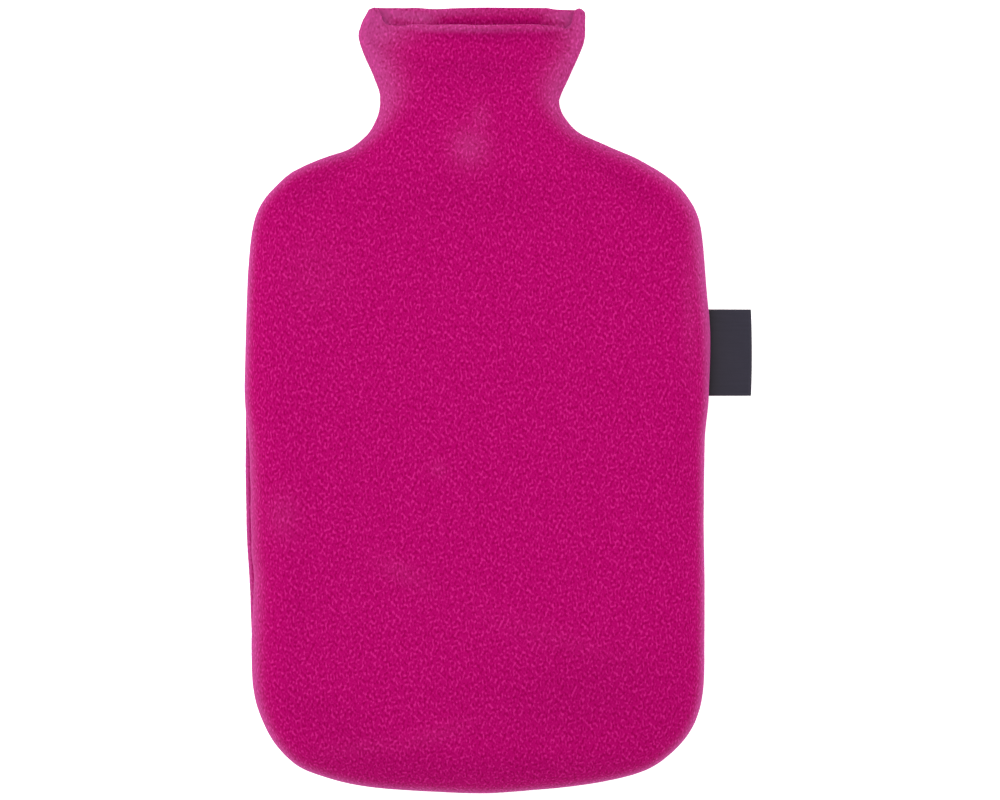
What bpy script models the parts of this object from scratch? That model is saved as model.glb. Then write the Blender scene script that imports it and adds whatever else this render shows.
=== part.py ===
"""Hot water bottle cover, lying on its back with its front up and its collar towards +Y.

Two fleece panels are cut to one outline, sewn together round the sides and foot, and turned right side out, so the
seam allowances lie inside. The collar stays open, with a turned hem on each panel. A ribbon label, folded in two, is
caught in the side seam. Metres, +Z up, origin on the flat underside, below the middle of the body.
"""

import math
from collections import namedtuple

import bpy
import numpy as np

# Cloth and seams
FLEECE = 0.0025  # thickness of one layer
HEM_THICKNESS = 0.005  # two layers, sewn flat
HEM_DEPTH = 0.018
HEM_STEP = 0.003  # over which the cloth changes from one layer to two
HEM_LEVEL = 0.026  # half the length of hem that has its full thickness
SEAM_ALLOWANCE = 0.0065  # how far the sewn-in edges reach inside
SEAM_GAP = 0.0003  # between the two panels
SEAM_ROLL = 0.003  # radius of the turn from the face into the seam

# Shape of the filled-out cover
FRONT_EDGE = 0.020  # width of the rounded edge of the front
BACK_EDGE = 0.018
EDGE_SHARE = 0.80  # of the front's height, reached at the edge; the crown adds the rest
MOUTH = 0.1725  # where the back panel's rim lies
FRONT_DROP = 0.0072  # how much lower the front panel's rim lies
RIM_LEVEL = 0.034  # half the length of rim that lies at its full drop
RIM_RISE = 0.012  # and the length over which it then rises to the seam
NECK = 0.128

# Foot: a superellipse below the last section of the outline
FOOT_START = -0.110
FOOT_DEPTH = 0.0622
FOOT_POWER = 3.0
FOOT_LEAN = 0.016  # the foot's rise per metre to the right

# Half widths of the outline on either side of the middle line, from the mouth down
Section = namedtuple("Section", "up left right")
OUTLINE = [
    Section(0.1725, 0.0470, 0.0470),
    Section(0.1660, 0.0503, 0.0473),
    Section(0.1600, 0.0520, 0.0468),
    Section(0.1540, 0.0500, 0.0450),
    Section(0.1460, 0.0458, 0.0414),
    Section(0.1380, 0.0432, 0.0376),
    Section(0.1300, 0.0427, 0.0360),
    Section(0.1240, 0.0438, 0.0380),
    Section(0.1190, 0.0464, 0.0424),
    Section(0.1145, 0.0508, 0.0506),
    Section(0.1109, 0.0562, 0.0592),
    Section(0.1074, 0.0648, 0.0675),
    Section(0.1038, 0.0742, 0.0742),
    Section(0.1003, 0.0810, 0.0797),
    Section(0.0933, 0.0893, 0.0888),
    Section(0.0863, 0.0944, 0.0937),
    Section(0.0790, 0.0972, 0.0970),
    Section(0.0620, 0.0998, 0.0994),
    Section(0.0260, 0.1013, 0.1024),
    Section(0.0000, 0.1021, 0.1017),
    Section(-0.0260, 0.1017, 0.1000),
    Section(-0.0620, 0.1011, 0.0994),
    Section(FOOT_START, 0.0992, 0.0999),
]

# Heights above the surface: of the seam, and of the front and the back along the middle line
Profile = namedtuple("Profile", "up seam front back")
PROFILE = [
    Profile(0.1725, 0.0165, 0.0265, 0.0065),
    Profile(0.1600, 0.0165, 0.0270, 0.0062),
    Profile(0.1460, 0.0165, 0.0292, 0.0053),
    Profile(0.1280, 0.0165, 0.0325, 0.0040),
    Profile(0.1140, 0.0170, 0.0355, 0.0015),
    Profile(0.0980, 0.0170, 0.0378, 0.0000),
    Profile(0.0600, 0.0170, 0.0400, 0.0000),
    Profile(0.0000, 0.0170, 0.0420, 0.0000),
    Profile(-0.0800, 0.0170, 0.0415, 0.0000),
    Profile(-0.1300, 0.0155, 0.0400, 0.0000),
    Profile(-0.1740, 0.0135, 0.0370, 0.0000),
]

# Soft swells (+) and hollows (-) of the front: place, length along and across, turn from +X, height
Swell = namedtuple("Swell", "x y along across turn height")
SWELLS = [
    Swell(-0.003, 0.111, 0.009, 0.008, 0, 0.0018),
    Swell(-0.070, 0.090, 0.024, 0.014, 35, -0.0012),
    Swell(0.054, 0.104, 0.022, 0.012, -30, -0.0012),
    Swell(0.000, 0.073, 0.028, 0.018, 0, -0.0008),
    Swell(-0.069, 0.062, 0.020, 0.016, 20, 0.0009),
    Swell(-0.036, -0.074, 0.018, 0.005, -27, 0.0008),
    Swell(0.020, -0.100, 0.055, 0.008, -22, 0.0006),
    Swell(-0.069, -0.106, 0.034, 0.018, 80, -0.0009),
    Swell(-0.034, -0.148, 0.032, 0.007, 12, 0.0006),
]

# Label: a ribbon folded in two
RIBBON = 0.0004
LABEL_TOP = 0.0396
LABEL_BOTTOM = 0.0022
LABEL_OUT = 0.0187  # how far the fold stands out from the seam
LABEL_IN = 0.0055  # how far the cut ends reach into the seam
LABEL_DROOP = 0.0007
LABEL_EASE = 0.010  # length beyond the label over which the seam closes again
LABEL_ROWS = 8
FOLD_STEPS = 4

# Fineness of the solids
SIDE_STEPS = 29
FOOT_STEPS = 14
FINE_STEPS = 400
ROLL_ANGLES = [-90, -40, 0]  # round the seam roll
EDGE_ANGLES = [24, 46, 68, 90]  # round the wide edge
BEND_CARE = 0.020  # extra length that a radian of bend counts for, when points are spread along the seam


def between(at, rows, column):
    """A column of a table at the given heights: a smooth curve that never overshoots its rows."""
    rows = sorted(rows)
    x = np.array([row.up for row in rows])
    y = np.array([getattr(row, column) for row in rows])
    step = np.diff(y) / np.diff(x)
    before, after = step[:-1], step[1:]
    both = before * after
    inner = np.where(both > 0, 2 * both / np.where(both > 0, before + after, 1), 0)
    slope = np.concatenate([step[:1], inner, step[-1:]])
    at = np.clip(at, x[0], x[-1])
    i = np.clip(np.searchsorted(x, at) - 1, 0, len(x) - 2)
    width = x[i + 1] - x[i]
    t = (at - x[i]) / width
    start = y[i] * (1 + 2 * t) + slope[i] * width * t
    end = y[i + 1] * (3 - 2 * t) - slope[i + 1] * width * (1 - t)
    return start * (1 - t) ** 2 + end * t**2


def ease(value):
    """0 below 0, 1 above 1, and a smooth rise between."""
    t = np.clip(value, 0, 1)
    return t * t * (3 - 2 * t)


def side_line(side):
    """Plan points down one side, from the mouth to the middle of the foot's corner; side is -1 or 1."""
    column = "left" if side < 0 else "right"
    up = np.linspace(MOUTH, FOOT_START, FINE_STEPS)
    straight = np.stack([side * between(up, OUTLINE, column), up], axis=1)
    return np.concatenate([straight, foot_line(side, np.linspace(0, 45, FINE_STEPS // 4)[1:])])


def foot_line(side, degrees):
    """Plan points round one half of the foot; 0 degrees is its side and 90 its lowest point."""
    width = OUTLINE[-1].left if side < 0 else OUTLINE[-1].right
    angle = np.radians(degrees)
    across = side * width * np.abs(np.cos(angle)) ** (2 / FOOT_POWER)
    down = np.abs(np.sin(angle)) ** (2 / FOOT_POWER)
    return np.stack([across, FOOT_START - FOOT_DEPTH * down + FOOT_LEAN * across * down**2], axis=1)


def spread(line, count):
    """count + 1 points along a line, closer together where it bends, each with the unit vector into the panel."""
    step = np.diff(line, axis=0)
    turn = np.abs(np.gradient(np.unwrap(np.arctan2(step[:, 1], step[:, 0]))))
    measure = np.concatenate([[0], np.cumsum(np.hypot(*step.T) + BEND_CARE * turn)])
    along = np.gradient(line, axis=0)
    along /= np.hypot(*along.T)[:, None]
    inward = np.stack([-along[:, 1], along[:, 0]], axis=1)
    wanted = np.linspace(0, measure[-1], count + 1)
    both = np.concatenate([line, inward], axis=1)
    return np.stack([np.interp(wanted, measure, column) for column in both.T], axis=1)


def seam_points():
    """The seam from the mouth's left end round the foot to its right end: plan points and inward directions."""
    left = spread(side_line(-1), SIDE_STEPS)
    right = spread(side_line(1), SIDE_STEPS)
    right[:, 2:] *= -1
    foot = np.concatenate(
        [foot_line(-1, np.linspace(45, 90, FINE_STEPS)), foot_line(1, np.linspace(90, 45, FINE_STEPS)[1:])]
    )
    line = np.concatenate([left[:-1], spread(foot, FOOT_STEPS), right[-2::-1]])
    point, inward = line[:, :2], line[:, 2:]
    level = ease((point[:, 1] - NECK) / (MOUTH - NECK))[:, None]
    inward = inward * (1 - level) + np.sign(inward[:, :1]) * [1, 0] * level
    return point, inward / np.hypot(*inward.T)[:, None]


def seam_half_gap(point):
    """Half the gap between the panels along the seam: wider where the label passes between them."""
    label_room = RIBBON * 1.5 + SEAM_GAP
    middle = (LABEL_TOP + LABEL_BOTTOM) / 2
    half = (LABEL_TOP - LABEL_BOTTOM) / 2
    beside = 1 - ease((np.abs(point[:, 1] - middle) - half - LABEL_EASE) / LABEL_EASE)
    return SEAM_GAP / 2 + (label_room - SEAM_GAP / 2) * beside * (point[:, 0] > 0)


def front_height(x, y, rise):
    """Height of the front face; rise goes from 0 at the seam to 1 past the rounded edge."""
    half = np.where(x < 0, between(y, OUTLINE, "left"), between(y, OUTLINE, "right"))
    foot = np.clip((FOOT_START - y) / FOOT_DEPTH, 0, 1)
    crown = np.clip(1 - (x / half) ** 2, 0, 1) * (1 - foot**2)
    low = between(y, PROFILE, "seam") + SEAM_GAP / 2 + SEAM_ROLL
    height = low + (between(y, PROFILE, "front") - low) * rise * (EDGE_SHARE + (1 - EDGE_SHARE) * crown)
    for s in SWELLS:
        turn = math.radians(s.turn)
        along = (x - s.x) * math.cos(turn) + (y - s.y) * math.sin(turn)
        across = (y - s.y) * math.cos(turn) - (x - s.x) * math.sin(turn)
        height = height + s.height * rise * np.exp(-((along / s.along) ** 2) - (across / s.across) ** 2)
    return height


def back_height(x, y, rise):
    """Height of the back face, which lies flat on the surface from the foot to the shoulders."""
    low = between(y, PROFILE, "seam") - SEAM_GAP / 2 - SEAM_ROLL
    return low + (between(y, PROFILE, "back") - low) * rise


def panel_grid(face, edge, side):
    """Points and faces of one panel's outer face: rings along the seam, and a mapped patch inside them.

    face gives the height, edge the width of the rounded edge, and side is 1 for the front and -1 for the back."""
    point, inward = seam_points()
    seam = between(point[:, 1], PROFILE, "seam")
    gap = seam_half_gap(point)
    rings = []
    base = seam + side * gap
    rings.append(np.column_stack([point + inward * SEAM_ALLOWANCE, base]))
    for degrees in ROLL_ANGLES:
        angle = math.radians(degrees)
        inset = SEAM_ROLL * (1 - math.cos(angle))
        lift = SEAM_ROLL * (1 + math.sin(angle))
        rings.append(np.column_stack([point + inward * inset, base + side * lift]))
    for degrees in EDGE_ANGLES:
        angle = math.radians(degrees)
        plan = point + inward * edge * (1 - math.cos(angle))
        height = face(plan[:, 0], plan[:, 1], math.sin(angle))
        parting = side * (gap - SEAM_GAP / 2) * (1 - math.sin(angle))
        rings.append(np.column_stack([plan, height + parting]))

    inner = rings[-1]
    left, foot, right = inner[: SIDE_STEPS + 1], inner[SIDE_STEPS:-SIDE_STEPS], inner[: -SIDE_STEPS - 2 : -1]
    u = np.linspace(0, 1, FOOT_STEPS + 1)[None, :, None]
    v = np.linspace(0, 1, SIDE_STEPS + 1)[:, None, None]
    sag = foot - (left[-1] * (1 - u[0]) + right[-1] * u[0])
    patch = left[:, None, :] * (1 - u) + right[:, None, :] * u + sag[None] * v
    patch[:, :, 2] = face(patch[:, :, 0], patch[:, :, 1], 1.0)

    count = len(point)
    points = np.concatenate(rings)
    start = (len(rings) - 1) * count
    index = np.zeros(patch.shape[:2], int)
    index[:, 0] = start + np.arange(SIDE_STEPS + 1)
    index[-1, :] = start + SIDE_STEPS + np.arange(FOOT_STEPS + 1)
    index[:, -1] = start + count - 1 - np.arange(SIDE_STEPS + 1)
    free = patch[:-1, 1:-1]
    index[:-1, 1:-1] = len(points) + np.arange(free.shape[0] * free.shape[1]).reshape(free.shape[:2])
    points = np.concatenate([points, free.reshape(-1, 3)])

    faces = []
    band = np.arange(len(rings) * count).reshape(len(rings), count)
    for grid in (band, index.T):
        corners = [grid[:-1, :-1], grid[:-1, 1:], grid[1:, 1:], grid[1:, :-1]]
        faces += np.stack([c.reshape(-1) for c in corners], axis=1).tolist()
    if side < 0:
        faces = [quad[::-1] for quad in faces]
    return points, faces


def material(name, colour, roughness):
    made = bpy.data.materials.new(name)
    made.use_nodes = True
    shader = made.node_tree.nodes["Principled BSDF"]
    shader.inputs["Base Color"].default_value = (*colour, 1)
    shader.inputs["Roughness"].default_value = roughness
    shader.inputs["Metallic"].default_value = 0
    return made


def sheet_object(name, points, faces, thickness, offset, finish):
    """One sheet of cloth: the face as a mesh, given its thickness by Solidify."""
    mesh = bpy.data.meshes.new(name)
    mesh.from_pydata(points.tolist(), [], faces)
    mesh.materials.append(finish)
    mesh.shade_smooth()
    made = bpy.data.objects.new(name, mesh)
    bpy.context.collection.objects.link(made)
    solid = made.modifiers.new("Thickness", "SOLIDIFY")
    solid.thickness = thickness
    solid.offset = offset
    solid.use_even_offset = True
    solid.use_quality_normals = True
    return made


def panel(name, face, edge, side, rim_drop, finish):
    """A fleece panel: its face, its seam allowance and its hem, one layer thick and two at the hem."""
    points, faces = panel_grid(face, edge, side)
    x, y = points[:, 0].copy(), points[:, 1].copy()
    middle = 1 - ease((np.abs(x) - RIM_LEVEL) / RIM_RISE)
    points[:, 1] -= rim_drop * middle * ease((y - NECK) / (MOUTH - NECK))
    made = sheet_object(name, points, faces, HEM_THICKNESS, -1, finish)

    inside = 1 - ease((np.abs(x) - HEM_LEVEL) / RIM_RISE)
    hem = ease((y - MOUTH + HEM_DEPTH) / HEM_STEP) * inside
    layers = made.vertex_groups.new(name="layers")
    single = FLEECE / HEM_THICKNESS
    for i, share in enumerate(single + (1 - single) * hem):
        layers.add([i], float(share), "REPLACE")
    made.modifiers["Thickness"].vertex_group = layers.name
    return made


def label(finish):
    """The ribbon label: two layers that leave the seam together and end in a fold."""
    half = (RIBBON + SEAM_GAP) / 2
    seam = float(between(np.array([(LABEL_TOP + LABEL_BOTTOM) / 2]), PROFILE, "seam")[0])
    root = float(between(np.array([(LABEL_TOP + LABEL_BOTTOM) / 2]), OUTLINE, "right")[0])
    runs = np.linspace(root - LABEL_IN, root + LABEL_OUT - half - RIBBON / 2, 6)
    fold = np.radians(np.linspace(90, -90, FOLD_STEPS + 1))[1:-1]
    section = [(x, half) for x in runs]
    section += [(runs[-1] + half * math.cos(a), half * math.sin(a)) for a in fold]
    section += [(x, -half) for x in runs[::-1]]
    section = np.array(section)
    droop = LABEL_DROOP * np.clip((section[:, 0] - root) / LABEL_OUT, 0, 1) ** 2

    rows = np.linspace(LABEL_TOP, LABEL_BOTTOM, LABEL_ROWS + 1)
    points = np.concatenate([[(x, y, seam + z - d) for (x, z), d in zip(section, droop)] for y in rows])
    count = len(section)
    faces = []
    for row in range(LABEL_ROWS):
        for i in range(count - 1):
            corner = row * count + i
            faces.append((corner, corner + count, corner + count + 1, corner + 1))
    return sheet_object("label", points, faces, RIBBON, 0, finish)


for old in list(bpy.data.objects):
    bpy.data.objects.remove(old, do_unlink=True)

front_fleece = material("front fleece", (0.485, 0.005, 0.147), 0.95)
back_fleece = material("back fleece", (0.470, 0.005, 0.142), 0.95)
satin = material("satin ribbon", (0.046, 0.041, 0.058), 0.45)

panel("front_panel", front_height, FRONT_EDGE, 1, FRONT_DROP, front_fleece)
panel("back_panel", back_height, BACK_EDGE, -1, 0.0, back_fleece)
label(satin)
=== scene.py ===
import math
from collections import namedtuple

import bpy
import numpy as np
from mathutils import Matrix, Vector, kdtree


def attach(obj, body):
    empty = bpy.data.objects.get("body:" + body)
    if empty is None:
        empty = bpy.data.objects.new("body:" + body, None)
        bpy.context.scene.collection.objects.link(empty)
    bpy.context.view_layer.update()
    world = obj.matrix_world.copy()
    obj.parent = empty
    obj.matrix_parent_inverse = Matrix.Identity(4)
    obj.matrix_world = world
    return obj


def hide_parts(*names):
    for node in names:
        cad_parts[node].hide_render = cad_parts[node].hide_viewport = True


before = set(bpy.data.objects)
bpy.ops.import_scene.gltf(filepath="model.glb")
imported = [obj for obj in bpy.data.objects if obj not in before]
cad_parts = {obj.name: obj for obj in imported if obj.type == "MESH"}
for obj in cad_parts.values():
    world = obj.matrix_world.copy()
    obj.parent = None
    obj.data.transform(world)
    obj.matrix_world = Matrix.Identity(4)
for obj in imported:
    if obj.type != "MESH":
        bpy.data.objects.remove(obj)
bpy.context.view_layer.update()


# ---- Front panel ----
# The front of the cover: one layer of brushed polyester fleece, cut to the outline of the bottle and drawn
# over it. It is sewn to the back round the sides and the foot, right sides together, and turned, so the edge
# rolls into the seam. Its mouth edge is folded inside as a hem.

FLEECE = 0.0025
HEM_THICKNESS = 0.0046
HEM_DEPTH = 0.016
HEM_STEP = 0.0025  # the hem is full this far above its lower edge
HEM_HALF = 0.027  # and this far to each side; past that it thins towards the folded corners
HEM_RISE = 0.010
SEAM_ALLOWANCE = 0.0065
MOUTH_ALLOWANCE = 0.0034  # what is left of it at the mouth, where it is trimmed and folded down into the hem
FLANGE_DROP = 0.0036  # how far its cut edge is folded down
FLANGE_DROP_REACH = 0.020
SEAM_GAP = 0.0003
SEAM_ROLL = 0.003  # the radius with which a panel turns out of the seam
FRONT_EDGE = 0.020  # how far in from the seam the rounded edge reaches
EDGE_SHARE = 0.80  # how much of the height the edge alone gives; the crown gives the rest
MOUTH = 0.1725
NECK = 0.128
FOOT_START = -0.110

# The foot's curve: an oval squared off by its power, which leans to one side and dips in the middle
FOOT_DEPTH = 0.0619
FOOT_POWER = 3.08
FOOT_LEAN = 0.013
FOOT_SHIFT = 0.0006
FOOT_DIP = 0.0012
FOOT_DIP_PLACE = 0.003
FOOT_DIP_HALF = 0.020
FOOT_CORNER = 45  # degrees along the curve, where the sides end and the foot begins

# Where the foot's corners stand out from that curve (+) or fall inside it (-)
Push = namedtuple("Push", "side degrees reach out")
FOOT_PUSHES = [
    Push(-1, 21, 10, -0.0006),
    Push(-1, 46, 8, 0.0008),
    Push(1, 51, 10, 0.0008),
]

# How far the outline stands out left and right of the middle, from the mouth down to the foot's curve
Section = namedtuple("Section", "up left right")
OUTLINE = [
    Section(0.1725, 0.0480, 0.0476),
    Section(0.1708, 0.0488, 0.0478),
    Section(0.1690, 0.0496, 0.0477),
    Section(0.1663, 0.0506, 0.0477),
    Section(0.1600, 0.0522, 0.0476),
    Section(0.1572, 0.0517, 0.0470),
    Section(0.1522, 0.0499, 0.0451),
    Section(0.1417, 0.0453, 0.0404),
    Section(0.1340, 0.0428, 0.0369),
    Section(0.1311, 0.0427, 0.0361),
    Section(0.1276, 0.0430, 0.0368),
    Section(0.1206, 0.0456, 0.0413),
    Section(0.1170, 0.0479, 0.0455),
    Section(0.1135, 0.0516, 0.0531),
    Section(0.1100, 0.0567, 0.0610),
    Section(0.1065, 0.0670, 0.0693),
    Section(0.1030, 0.0755, 0.0757),
    Section(0.0994, 0.0822, 0.0817),
    Section(0.0941, 0.0881, 0.0884),
    Section(0.0889, 0.0929, 0.0927),
    Section(0.0836, 0.0961, 0.0958),
    Section(0.0783, 0.0979, 0.0978),
    Section(0.0704, 0.0993, 0.0991),
    Section(0.0528, 0.1007, 0.1005),
    Section(0.0260, 0.1016, 0.1024),
    Section(0.0000, 0.1021, 0.1017),
    Section(-0.0176, 0.1021, 0.1001),
    Section(-0.0528, 0.1018, 0.0997),
    Section(-0.0880, 0.1000, 0.1000),
    Section(FOOT_START, 0.0991, 0.0999),
]

# The heights of the seam's level and of the front and back faces, down the middle
Profile = namedtuple("Profile", "up seam front back")
PROFILE = [
    Profile(0.1725, 0.0165, 0.0265, 0.0065),
    Profile(0.1600, 0.0165, 0.0270, 0.0062),
    Profile(0.1460, 0.0165, 0.0292, 0.0053),
    Profile(0.1280, 0.0165, 0.0325, 0.0040),
    Profile(0.1140, 0.0170, 0.0355, 0.0015),
    Profile(0.0980, 0.0170, 0.0378, 0.0000),
    Profile(0.0600, 0.0170, 0.0400, 0.0000),
    Profile(0.0000, 0.0170, 0.0420, 0.0000),
    Profile(-0.0800, 0.0170, 0.0415, 0.0000),
    Profile(-0.1300, 0.0155, 0.0400, 0.0000),
    Profile(-0.1740, 0.0135, 0.0370, 0.0000),
]

# How far the front's rim lies below the end of the outline, along the mouth, and how much sheen is painted
# on its rolled edge
Rim = namedtuple("Rim", "across drop pale")
FRONT_RIM = [
    Rim(-0.0480, 0.0003, 0.75),
    Rim(-0.0466, 0.0000, 0.75),
    Rim(-0.0450, 0.0002, 0.75),
    Rim(-0.0436, 0.0006, 0.75),
    Rim(-0.0426, 0.0016, 0.74),
    Rim(-0.0418, 0.0036, 0.72),
    Rim(-0.0410, 0.0060, 0.70),
    Rim(-0.0397, 0.0074, 0.68),
    Rim(-0.0337, 0.0078, 0.60),
    Rim(-0.0280, 0.0072, 0.60),
    Rim(-0.0205, 0.0077, 0.62),
    Rim(-0.0080, 0.0079, 0.64),
    Rim(0.0000, 0.0083, 0.62),
    Rim(0.0100, 0.0082, 0.46),
    Rim(0.0190, 0.0080, 0.34),
    Rim(0.0275, 0.0078, 0.40),
    Rim(0.0320, 0.0079, 0.48),
    Rim(0.0363, 0.0083, 0.52),
    Rim(0.0396, 0.0093, 0.58),
    Rim(0.0408, 0.0088, 0.62),
    Rim(0.0415, 0.0066, 0.68),
    Rim(0.0420, 0.0030, 0.72),
    Rim(0.0426, 0.0012, 0.75),
    Rim(0.0436, 0.0007, 0.75),
    Rim(0.0452, 0.0005, 0.75),
    Rim(0.0464, 0.0006, 0.75),
    Rim(0.0476, 0.0012, 0.75),
]

# How far the outer faces stand off the seam's level along the mouth: over the seam allowances at its ends,
# then shut, then open
Lip = namedtuple("Lip", "across off")
LIPS = [
    Lip(-0.0480, 0.00315),
    Lip(-0.0472, 0.0043),
    Lip(-0.0462, 0.0052),
    Lip(-0.0448, 0.0054),
    Lip(-0.0437, 0.0045),
    Lip(-0.0425, 0.0035),
    Lip(-0.0408, 0.0030),
    Lip(-0.0360, 0.0029),
    Lip(-0.0300, 0.0047),
    Lip(-0.0220, 0.0062),
    Lip(-0.0120, 0.0086),
    Lip(0.0000, 0.0100),
    Lip(0.0190, 0.0098),
    Lip(0.0280, 0.0078),
    Lip(0.0330, 0.0046),
    Lip(0.0365, 0.0031),
    Lip(0.0405, 0.0030),
    Lip(0.0422, 0.0035),
    Lip(0.0434, 0.0045),
    Lip(0.0445, 0.0054),
    Lip(0.0458, 0.0052),
    Lip(0.0468, 0.0043),
    Lip(0.0476, 0.00315),
]
LIP_REACH = 0.032  # how far down from the mouth this has an effect

# Soft swells (+) and hollows (-) where the cloth eases over the bottle, and the lie of each
Swell = namedtuple("Swell", "x y along across turn height")
FRONT_SWELLS = [
    Swell(-0.0030, 0.1105, 0.0085, 0.0080, 0, 0.0016),
    Swell(0.0015, 0.1230, 0.0050, 0.0060, 0, 0.0006),
    Swell(-0.0710, 0.0965, 0.0230, 0.0060, 37, -0.0016),
    Swell(0.0640, 0.0960, 0.0260, 0.0065, -36, -0.0018),
    Swell(0.0360, 0.1120, 0.0200, 0.0070, -55, 0.0014),
    Swell(-0.0420, 0.1120, 0.0200, 0.0070, 62, 0.0012),
    Swell(0.0000, 0.0730, 0.0280, 0.0180, 0, -0.0008),
    Swell(-0.0690, 0.0620, 0.0200, 0.0160, 20, 0.0009),
    Swell(-0.0845, -0.0850, 0.0480, 0.0055, 90, 0.0008),
    Swell(-0.0730, -0.0900, 0.0420, 0.0060, 88, -0.0006),
    Swell(0.0900, 0.0340, 0.0400, 0.0060, 90, 0.0006),
    Swell(-0.0165, -0.0300, 0.0050, 0.0040, 0, 0.0003),
    Swell(-0.0370, -0.0730, 0.0170, 0.0050, -27, 0.0008),
    Swell(0.0340, -0.1030, 0.0400, 0.0050, -18, 0.0006),
    Swell(-0.0690, -0.1060, 0.0340, 0.0180, 80, -0.0009),
    Swell(0.0640, -0.1240, 0.0300, 0.0160, 30, -0.0009),
    Swell(-0.0560, -0.1525, 0.0220, 0.0050, -3, 0.0006),
    Swell(-0.0190, -0.1460, 0.0190, 0.0050, 17, 0.0007),
]

# Where sheen is painted along the seam, as a paler strip on which the pile also stands lower: how wide that
# strip is in from the seam, and how pale, at the left and the right
Strip = namedtuple("Strip", "up left right left_pale right_pale")
FRONT_STRIPS = [
    Strip(0.1725, 0.0160, 0.0100, 1.04, 0.92),
    Strip(0.1600, 0.0132, 0.0100, 0.98, 0.80),
    Strip(0.1460, 0.0105, 0.0094, 0.92, 0.72),
    Strip(0.1340, 0.0095, 0.0073, 0.82, 0.80),
    Strip(0.1230, 0.0066, 0.0051, 0.80, 0.78),
    Strip(0.1100, 0.0036, 0.0036, 0.90, 0.85),
    Strip(0.0950, 0.0027, 0.0036, 1.00, 1.00),
    Strip(0.0700, 0.0024, 0.0044, 1.05, 1.00),
    Strip(0.0400, 0.0023, 0.0038, 1.08, 1.00),
    Strip(0.0000, 0.0023, 0.0024, 1.08, 1.12),
    Strip(-0.0220, 0.0032, 0.0022, 0.62, 1.06),
    Strip(-0.0400, 0.0036, 0.0020, 0.56, 1.06),
    Strip(-0.0700, 0.0038, 0.0021, 0.58, 1.06),
    Strip(-0.1000, 0.0041, 0.0022, 0.88, 1.06),
    Strip(-0.1150, 0.0040, 0.0023, 1.05, 1.10),
    Strip(-0.1350, 0.0034, 0.0025, 1.10, 1.10),
    Strip(-0.1740, 0.0022, 0.0020, 1.00, 1.00),
]
SEAM_STRIP = 0.0011  # the narrow strip of painted sheen right at the seam is pale all round
SEAM_LEAST = 0.35
# The strip of painted sheen along the rim
RIM_STRIP = 0.0013

# Soft patches of painted light (+), on the swells, and of painted shade (-), in the hollows, down the neck's
# middle, along the foot and just below the front's rim
Mark = namedtuple("Mark", "x y along across turn amount")
FRONT_MARKS = [
    Mark(-0.0030, 0.1100, 0.0080, 0.0085, 0, 0.30),
    Mark(0.0015, 0.1230, 0.0045, 0.0060, 0, 0.16),
    Mark(-0.0845, -0.0505, 0.0070, 0.0100, 0, 0.12),
    Mark(-0.0330, -0.0745, 0.0120, 0.0050, -27, 0.08),
    Mark(-0.0165, -0.0300, 0.0040, 0.0035, 0, 0.09),
    Mark(0.0340, -0.1030, 0.0330, 0.0050, -18, 0.03),
    Mark(-0.0480, -0.1510, 0.0180, 0.0040, 4, 0.05),
    Mark(-0.0190, -0.1455, 0.0160, 0.0040, 19, 0.06),
    Mark(-0.0710, 0.0550, 0.0130, 0.0150, 0, 0.05),
    Mark(0.0930, 0.0430, 0.0240, 0.0040, 90, 0.14),
    Mark(0.0000, 0.1500, 0.0240, 0.0110, 0, -0.26),
    Mark(-0.0700, 0.0950, 0.0250, 0.0070, 36, -0.32),
    Mark(0.0640, 0.0960, 0.0270, 0.0055, -36, -0.26),
    Mark(0.0000, 0.0880, 0.0500, 0.0120, 0, -0.12),
    Mark(0.0500, -0.1300, 0.0450, 0.0220, 0, -0.25),
    Mark(-0.0600, -0.1430, 0.0300, 0.0110, -30, -0.20),
    Mark(0.0000, -0.1590, 0.0800, 0.0090, 0, -0.17),
    Mark(0.0050, 0.1710, 0.0300, 0.0045, 0, -0.52),
]

# How finely the cloth is divided: along each side and the foot, and from the cut edge over the allowance,
# the roll out of the seam and the rounded edge, and round the rim
SIDE_STEPS = 300
FOOT_STEPS = 160
FLANGE_STEPS = 3
ROLL_STEPS = 6
EDGE_STEPS = 24
RIM_STEPS = 8
FINE_STEPS = 1200
TURN_STEPS = 10  # how many steps along the seam its inward direction is evened out over
BEND_CARE = 0.008  # the length that a full radian of bend counts for when points are spread along the seam
INNER_STEP = 4  # the inner face has one point for so many of the outer one's
INNER_FINE_ROWS = 28  # but all of them in this many rows from the mouth down


def between(at, rows, column):
    """A column of a table, read smoothly between its rows without overshooting them."""
    rows = sorted(rows)
    x = np.array([row[0] for row in rows])
    y = np.array([getattr(row, column) for row in rows])
    step = np.diff(y) / np.diff(x)
    before, after = step[:-1], step[1:]
    both = before * after
    inner = np.where(both > 0, 2 * both / np.where(both > 0, before + after, 1), 0)
    slope = np.concatenate([step[:1], inner, step[-1:]])
    at = np.clip(at, x[0], x[-1])
    i = np.clip(np.searchsorted(x, at) - 1, 0, len(x) - 2)
    width = x[i + 1] - x[i]
    t = (at - x[i]) / width
    start = y[i] * (1 + 2 * t) + slope[i] * width * t
    end = y[i + 1] * (3 - 2 * t) - slope[i + 1] * width * (1 - t)
    return start * (1 - t) ** 2 + end * t**2


def ease(value):
    """A soft step from 0 to 1."""
    t = np.clip(value, 0, 1)
    return t * t * (3 - 2 * t)


def patch(x, y, spot):
    """A soft oval patch, 1 in its middle."""
    turn = math.radians(spot.turn)
    along = (x - spot.x) * math.cos(turn) + (y - spot.y) * math.sin(turn)
    across = (y - spot.y) * math.cos(turn) - (x - spot.x) * math.sin(turn)
    return np.exp(-((along / spot.along) ** 2) - (across / spot.across) ** 2)


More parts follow.
